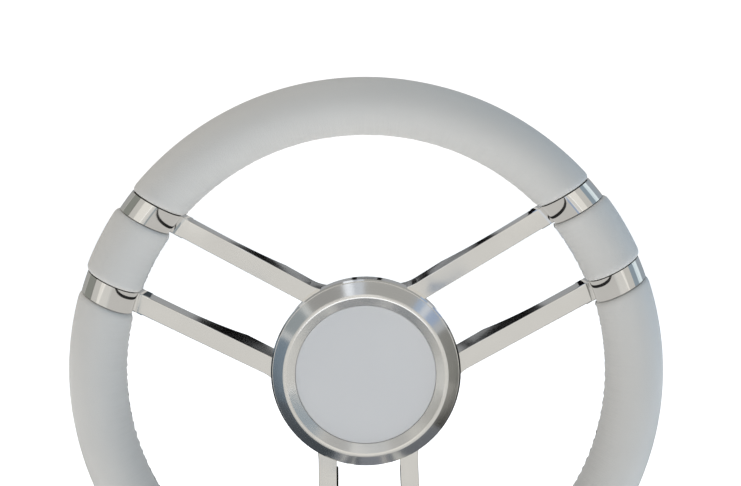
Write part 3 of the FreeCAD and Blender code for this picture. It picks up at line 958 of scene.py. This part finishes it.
# Glowing cards that only reflections show, as painted reflections: place, aim, width, height,
# colour. The near-black ones paint dark reflections.
CARDS = {
    "back_card": ((0.0, 0.75, 0.42), (0.0, -0.1, 0.42), 1.6, 0.9, (0.36, 0.37, 0.38)),
    "flag_card": ((0.0, 0.74, 0.21), (0.0, -0.1, 0.21), 0.118, 0.24, (0.004, 0.004, 0.004)),
    "bend_card": ((0.0, 0.73, 0.163), (0.0, -0.1, 0.163), 0.080, 0.034, (0.30, 0.31, 0.32)),
    "ceiling_card": ((0.10, -0.80, 1.50), (0.0, -0.1, 0.05), 1.3, 0.5, (0.46, 0.48, 0.50)),
    "roof_card": ((0.0, 0.0, 1.88), (0.0, 0.0, 0.0), 4.8, 4.8, (0.50, 0.50, 0.49)),
    # Near-black sheet on the floor under the wheel: painted shade of the floor there, seen only
    # in reflections.
    "floor_shade_card": ((0.0, 0.03, -0.166), (0.0, 0.03, 1.0), 1.0, 0.40, (0.004, 0.004, 0.004)),
    "spoke_card": ((0.0, -1.20, -0.170), (0.0, -1.20, 1.0), 2.6, 1.9, (0.745, 0.735, 0.705)),
    "blue_patch": ((-0.045, -0.95, -0.168), (-0.045, -0.95, 1.0), 0.05, 0.11, (0.34, 0.39, 0.47)),
    "white_patch": ((0.10, -1.04, -0.168), (0.10, -1.04, 1.0), 0.06, 0.10, (0.86, 0.88, 0.92)),
    "grey_patch": ((-0.11, -1.06, -0.168), (-0.11, -1.06, 1.0), 0.07, 0.06, (0.62, 0.63, 0.64)),
}
# Arcs of the glowing hoops that the hub reflects: first angle, last angle, colour.
FRONT_HOOP = (
    (0, 22, (0.25, 0.25, 0.235)),
    (22, 29, (0.50, 0.52, 0.54)),
    (29, 38, (0.36, 0.45, 0.62)),
    (38, 43, (0.75, 0.78, 0.82)),
    (43, 49, (0.40, 0.50, 0.66)),
    (49, 90, (0.43, 0.43, 0.415)),
    (90, 95, (0.66, 0.70, 0.76)),
    (95, 98, (0.50, 0.53, 0.58)),
    (98, 105, (1.02, 1.07, 1.14)),
    (105, 134, (0.36, 0.36, 0.35)),
    (134, 139, (0.66, 0.68, 0.68)),
    (139, 157, (0.33, 0.37, 0.39)),
    (157, 162, (0.60, 0.62, 0.63)),
    (162, 205, (0.19, 0.25, 0.31)),
    (205, 250, (0.155, 0.185, 0.22)),
    (250, 254, (0.22, 0.24, 0.27)),
    (254, 260, (0.52, 0.53, 0.54)),
    (260, 284, (0.22, 0.24, 0.27)),
    (284, 290, (0.62, 0.63, 0.62)),
    (290, 312, (0.26, 0.28, 0.30)),
    (312, 345, (0.38, 0.375, 0.35)),
    (345, 360, (0.26, 0.26, 0.24)),
)
REAR_HOOP = (
    (0, 50, (0.004, 0.004, 0.005)),
    (50, 150, (0.34, 0.35, 0.36)),
    (150, 250, (0.05, 0.06, 0.07)),
    (250, 254, (0.16, 0.18, 0.21)),
    (254, 262, (0.50, 0.51, 0.50)),
    (262, 265, (0.12, 0.13, 0.15)),
    (265, 277, (0.22, 0.235, 0.265)),
    (277, 285, (0.46, 0.46, 0.45)),
    (285, 315, (0.14, 0.15, 0.17)),
    (315, 360, (0.004, 0.004, 0.005)),
)
FORE_HOOP = (
    *FRONT_HOOP[1:12],
    (157, 210, (0.66, 0.66, 0.64)),
    (210, 290, (0.58, 0.57, 0.54)),
    (290, 382, (0.68, 0.68, 0.66)),
)
HOOP_REACH = 0.1405
HOOP_DEPTHS = (-0.165, -0.119, -0.0855, -0.045)
# A shell just outside the hoops, which only the collars reflect: a dark sliver at each arm.
SHELL_LIGHT, SHELL_DARK = (0.60, 0.59, 0.57), (0.02, 0.02, 0.02)
SHELL_REACH = 0.1418
ARM_TURN, ARM_SHADE = 9.5, 0.35
SHELL_DEPTHS = (-0.140, -0.045)
# The same round the room: what the collars and the crest of the cap reflect.
ROOM_WALLS = (
    (-38, -16, (0.30, 0.37, 0.43)),
    (-16, -9, (0.78, 0.90, 0.96)),
    (-9, -8, (0.40, 0.50, 0.56)),
    (-8, 8, (0.84, 0.95, 1.0)),
    (8, 90, (0.36, 0.41, 0.46)),
    (90, 166, (0.42, 0.42, 0.405)),
    (166, 168, (0.66, 0.66, 0.64)),
    (168, 208, (0.28, 0.29, 0.265)),
    (208, 210, (0.12, 0.12, 0.11)),
    (210, 322, (0.64, 0.63, 0.60)),
)
ROOM_REACH = 2.35
ROOM_HEIGHTS = (-0.17, 1.87)


class WHEEL_OT_set_stage(bpy.types.Operator):
    """Set the camera, the floor, the backdrop and the light"""

    bl_idname = "wheel.set_stage"
    bl_label = "Set stage"

    def execute(self, context):
        stage = context.scene.wheel_stage
        place_camera(stage)
        lay_floor(stage)
        raise_dome(stage)
        hang_lights(stage)
        hang_cards()
        return {"FINISHED"}


def place_camera(stage):
    data = bpy.data.cameras.new("view")
    data.sensor_width = 36.0
    data.lens = stage.lens
    data.clip_start = 0.01
    camera = bpy.data.objects.new("view", data)
    bpy.context.scene.collection.objects.link(camera)
    place, aim = Vector(stage.camera_place), Vector(stage.camera_aim)
    forward = (aim - place).normalized()
    right = forward.cross(Vector((0, 0, 1))).normalized()
    up = right.cross(forward)
    turn = Matrix((right, up, -forward)).transposed().to_4x4()
    camera.matrix_world = (
        Matrix.Translation(place)
        @ Matrix.Rotation(stage.camera_roll, 4, forward)
        @ turn
    )
    bpy.context.scene.camera = camera
    bpy.context.scene.view_settings.view_transform = "Standard"


def staged(name, mesh, material=None):
    piece = bpy.data.objects.new(name, mesh)
    bpy.context.scene.collection.objects.link(piece)
    if material:
        mesh.materials.append(material)
    return piece


def floor_finish(stage):
    f = Finish("pale_floor")
    speckle = f.grain(f.object_place(), 60.0, 2.0)
    return f.close(
        {
            "Base Color": f.tint(speckle, (0.90, 0.90, 0.90), (0.92, 0.92, 0.92)),
            "Roughness": speckle * 0.05 + 0.8,
            "Specular IOR Level": 0.0,
            "Emission Color": (1.0, 1.0, 1.0, 1.0),
            "Emission Strength": stage.floor_glow,
        }
    )


def lay_floor(stage):
    count = stage.dome_faces
    turns = [2 * math.pi * k / count for k in range(count)]
    rim = [
        (STAGE_RADIUS * math.cos(turn), STAGE_RADIUS * math.sin(turn), FLOOR_LEVEL)
        for turn in turns
    ]
    mesh = bpy.data.meshes.new("floor")
    mesh.from_pydata(rim, [], [tuple(range(count))])
    staged("floor", mesh, floor_finish(stage))


def glow_finish(name, colour, strength):
    """An even glow."""
    f = Finish(name)
    glow = f.add("ShaderNodeEmission", {}, {"Color": (*colour, 1), "Strength": strength})
    out = f.tree.nodes.new("ShaderNodeOutputMaterial")
    f.tree.links.new(glow.socket, out.inputs["Surface"])
    return f.material


def raise_dome(stage):
    """A white dome that is only seen directly, so the background stays white."""
    count = stage.dome_faces
    vertices = []
    for ring in range(DOME_RINGS):
        tilt = math.pi / 2 * ring / DOME_RINGS
        reach = STAGE_RADIUS * math.cos(tilt)
        height = FLOOR_LEVEL + STAGE_RADIUS * math.sin(tilt)
        for k in range(count):
            turn = 2 * math.pi * k / count
            vertices.append((reach * math.cos(turn), reach * math.sin(turn), height))
    vertices.append((0, 0, FLOOR_LEVEL + STAGE_RADIUS))
    faces = []
    for ring in range(DOME_RINGS - 1):
        low, high = ring * count, (ring + 1) * count
        for k in range(count):
            beside = (k + 1) % count
            faces.append((low + k, high + k, high + beside, low + beside))
    last = (DOME_RINGS - 1) * count
    faces += [(last + k, DOME_RINGS * count, last + (k + 1) % count) for k in range(count)]
    mesh = bpy.data.meshes.new("backdrop")
    mesh.from_pydata(vertices, [], faces)
    dome = staged("backdrop", mesh, glow_finish("white_backdrop", (1.0, 1.0, 1.0), DOME_GLOW))
    for kind in ("diffuse", "glossy", "transmission", "volume_scatter", "shadow"):
        setattr(dome, f"visible_{kind}", False)


def facing(place, aim):
    """A turn that looks from a place to a point."""
    return (Vector(aim) - Vector(place)).to_track_quat("-Z", "Y").to_matrix().to_4x4()


def hang_lights(stage):
    """The even light from all round, and the area lights."""
    world = bpy.data.worlds.new("even_light")
    bpy.context.scene.world = world
    world.use_nodes = True
    back = world.node_tree.nodes["Background"]
    back.inputs["Color"].default_value = (*SKY, 1)
    back.inputs["Strength"].default_value = stage.fill_strength
    for name, (place, aim, width, height, colour, level) in SOFTBOXES.items():
        data = bpy.data.lights.new(name, "AREA")
        data.shape = "RECTANGLE"
        data.size, data.size_y = width, height
        data.color = colour
        data.energy = level * math.pi * width * height
        light = bpy.data.objects.new(name, data)
        bpy.context.scene.collection.objects.link(light)
        light.matrix_world = Matrix.Translation(place) @ facing(place, aim)
        light.visible_camera = False
        light.visible_glossy = name in MIRRORED_LIGHTS


def hang_cards():
    for name, (place, aim, width, height, colour) in CARDS.items():
        mesh = bpy.data.meshes.new(name)
        signs = ((-1, -1), (1, -1), (1, 1), (-1, 1))
        corners = [(across * width / 2, up * height / 2, 0) for across, up in signs]
        mesh.from_pydata(corners, [], [(0, 1, 2, 3)])
        mesh.transform(Matrix.Translation(place) @ facing(place, aim))
        card = staged(name, mesh, glow_finish(f"{name}_paint", colour, 1.0))
        only_reflected(card)
    hang_hoop("fore_hoop", FORE_HOOP, HOOP_REACH, HOOP_DEPTHS[:2])
    hang_hoop("front_hoop", FRONT_HOOP, HOOP_REACH, HOOP_DEPTHS[1:3])
    hang_hoop("rear_hoop", REAR_HOOP, HOOP_REACH, HOOP_DEPTHS[2:])
    hang_hoop("room_walls", ROOM_WALLS, ROOM_REACH, ROOM_HEIGHTS, upright=True)
    hang_hoop("collar_shell", shell_arcs(), SHELL_REACH, SHELL_DEPTHS)


def shell_arcs():
    """Arcs right round the wheel, with a dark sliver at each arm."""
    arms = sorted(pair + side * ARM_TURN for pair in PAIR_ANGLES.values() for side in (-1, 1))
    arcs = []
    for here, after in zip(arms, arms[1:] + [arms[0] + 360]):
        arcs.append((here - ARM_SHADE, here + ARM_SHADE, SHELL_DARK))
        arcs.append((here + ARM_SHADE, after - ARM_SHADE, SHELL_LIGHT))
    return arcs


def hang_hoop(name, arcs, reach, ends, upright=False):
    """A hoop round the hub, or round the room, glowing in another colour along each arc."""
    vertices, faces, paints = [], [], []
    mesh = bpy.data.meshes.new(name)
    for number, (first, last, colour) in enumerate(arcs):
        mesh.materials.append(glow_finish(f"{name}_{number}", colour, 1.0))
        steps = max(2, round((last - first) / ARC_STEP))
        base = len(vertices)
        for step in range(steps + 1):
            angle = math.radians(first + (last - first) * step / steps)
            x, y = reach * math.cos(angle), reach * math.sin(angle)
            vertices += [(x, y, end) if upright else (x, end, y) for end in ends]
        for step in range(steps):
            low = base + 2 * step
            faces.append((low, low + 1, low + 3, low + 2))
            paints.append(number)
    mesh.from_pydata(vertices, [], faces)
    mesh.polygons.foreach_set("material_index", paints)
    only_reflected(staged(name, mesh))


def only_reflected(card):
    """Leaves a card in reflections alone."""
    for kind in ("camera", "diffuse", "transmission", "volume_scatter", "shadow"):
        setattr(card, f"visible_{kind}", False)


# ---------------------------------------------------------------- operators


class WHEEL_OT_wrap_long_grips(bpy.types.Operator):
    """Sew the leather round the three long grips"""

    bl_idname = "wheel.wrap_long_grips"
    bl_label = "Wrap long grips"

    def execute(self, context):
        for name in LONG_GRIPS:
            wrap_grip(name, context.scene.wheel_rim.long_radius, name, context.scene)
        return {"FINISHED"}


class WHEEL_OT_wrap_short_grips(bpy.types.Operator):
    """Sew the leather round the three short grips"""

    bl_idname = "wheel.wrap_short_grips"
    bl_label = "Wrap short grips"

    def execute(self, context):
        for name in SHORT_GRIPS:
            wrap_grip(name, context.scene.wheel_rim.short_radius, f"{name}_short", context.scene)
        return {"FINISHED"}


class WHEEL_OT_lace_seams(bpy.types.Operator):
    """Lace the seams on the inner side of the rim"""

    bl_idname = "wheel.lace_seams"
    bl_label = "Lace seams"

    def execute(self, context):
        seam = context.scene.wheel_seam
        tree = stitch_tree(thread_finish(seam.thread_colour))
        values = {
            "Pitch": seam.stitch_pitch,
            "Reach": seam.stitch_reach,
            "Thread": seam.thread_radius,
        }
        mesh = grown_mesh(seam_paths(context.scene), tree, values, "seam_thread")
        piece = bpy.data.objects.new("seam_thread", mesh)
        context.scene.collection.objects.link(piece)
        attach(piece, WHEEL_BODY)
        return {"FINISHED"}


class WHEEL_OT_fill_grips(bpy.types.Operator):
    """Finish the foam and the steel ring inside the grips"""

    bl_idname = "wheel.fill_grips"
    bl_label = "Finish foam and ring"

    def execute(self, context):
        foam = [name for name in NODES if name.startswith("foam_grip_")]
        cover_with(foam_finish(), *foam)
        cover_with(plain_steel("ring_steel", (0.5, 0.5, 0.5), 0.3), "rim_ring")
        return {"FINISHED"}


class WHEEL_OT_polish_spokes(bpy.types.Operator):
    """Polish the spoke frame"""

    bl_idname = "wheel.polish_spokes"
    bl_label = "Polish spokes"

    def execute(self, context):
        steel = context.scene.wheel_steel
        polish = mirror_steel("polished_spokes", steel.steel_colour, steel.spoke_roughness)
        cover_with(polish, "spoke_frame")
        return {"FINISHED"}


class WHEEL_OT_polish_collars(bpy.types.Operator):
    """Polish the collars and finish their screws"""

    bl_idname = "wheel.polish_collars"
    bl_label = "Polish collars"

    def execute(self, context):
        steel = context.scene.wheel_steel
        screws = ("collar_grub_screws", "hub_screws")
        collars = [name for name in NODES if name.startswith("collar_") and name not in screws]
        polish = mirror_steel(
            "polished_collars", steel.steel_colour, steel.collar_roughness, 0.00002
        )
        cover_with(polish, *collars)
        cover_with(plain_steel("screw_steel", (0.42, 0.42, 0.43), 0.25), *screws)
        return {"FINISHED"}


class WHEEL_OT_finish_cap(bpy.types.Operator):
    """Finish the hub cap: turned ring, satin disc, tape and rubber ring"""

    bl_idname = "wheel.finish_cap"
    bl_label = "Finish hub cap"

    def execute(self, context):
        steel, cap = context.scene.wheel_steel, context.scene.wheel_cap
        turned = turned_steel("turned_cap", steel.steel_colour, steel.turned_roughness)
        tape = satin_plastic("foam_tape", (0.05, 0.05, 0.05), 0.8, 0.0001, 900.0)
        rubber = satin_plastic("black_rubber", (0.018, 0.018, 0.019), 0.55, 0.00003, 700.0)
        cover_with(turned, "cap_ring")
        cover_with(satin_plastic("satin_disc", cap.disc_colour, 0.38), "cap_disc")
        cover_with(tape, "cap_tape")
        cover_with(rubber, "cap_oring", "shaft_seal")
        return {"FINISHED"}


class WHEEL_OT_finish_shaft(bpy.types.Operator):
    """Finish the boss, the tapered shaft and its nut"""

    bl_idname = "wheel.finish_shaft"
    bl_label = "Finish boss and shaft"

    def execute(self, context):
        turned = turned_steel("turned_boss", (0.58, 0.58, 0.57), 0.24, 0.00003)
        cover_with(turned, "hub_boss", "helm_shaft", "shaft_washer")
        drawn = plain_steel("nut_steel", (0.55, 0.55, 0.54), 0.26)
        cover_with(drawn, "shaft_key", "shaft_nut", "retaining_ring")
        return {"FINISHED"}


class WHEEL_OT_finish_helm(bpy.types.Operator):
    """Finish the flange and the bush that the shaft turns in"""

    bl_idname = "wheel.finish_helm"
    bl_label = "Finish helm flange"

    def execute(self, context):
        cover_with(cast_metal_finish("anodised_flange", (0.50, 0.51, 0.52)), "helm_flange")
        cover_with(plain_steel("bush_bronze", (0.62, 0.42, 0.20), 0.34), "shaft_bush")
        return {"FINISHED"}


STEPS = (
    WHEEL_OT_set_stage,
    WHEEL_OT_wrap_long_grips,
    WHEEL_OT_wrap_short_grips,
    WHEEL_OT_lace_seams,
    WHEEL_OT_fill_grips,
    WHEEL_OT_polish_spokes,
    WHEEL_OT_polish_collars,
    WHEEL_OT_finish_cap,
    WHEEL_OT_finish_shaft,
    WHEEL_OT_finish_helm,
)
GROUPS = {
    "wheel_rim": RimSettings,
    "wheel_seam": SeamSettings,
    "wheel_steel": SteelSettings,
    "wheel_cap": CapSettings,
    "wheel_stage": StageSettings,
}


class WHEEL_PT_steps(bpy.types.Panel):
    """The steps that finish the wheel"""

    bl_idname = "WHEEL_PT_steps"
    bl_label = "Marine steering wheel"
    bl_space_type = "VIEW_3D"
    bl_region_type = "UI"
    bl_category = "Wheel"

    def draw(self, context):
        for name, group in GROUPS.items():
            values = getattr(context.scene, name)
            box = self.layout.box()
            for key in group.__annotations__:
                box.prop(values, key)
        for step in STEPS:
            self.layout.operator(step.bl_idname)


def register():
    for group in GROUPS.values():
        bpy.utils.register_class(group)
    for name, group in GROUPS.items():
        setattr(bpy.types.Scene, name, PointerProperty(type=group))
    for step in (*STEPS, WHEEL_PT_steps):
        bpy.utils.register_class(step)


def unregister():
    for step in (WHEEL_PT_steps, *reversed(STEPS)):
        bpy.utils.unregister_class(step)
    for name, group in reversed(GROUPS.items()):
        delattr(bpy.types.Scene, name)
        bpy.utils.unregister_class(group)


def main():
    register()
    for step in STEPS:
        group, name = step.bl_idname.split(".")
        getattr(getattr(bpy.ops, group), name)()


if __name__ == "__main__":
    main()
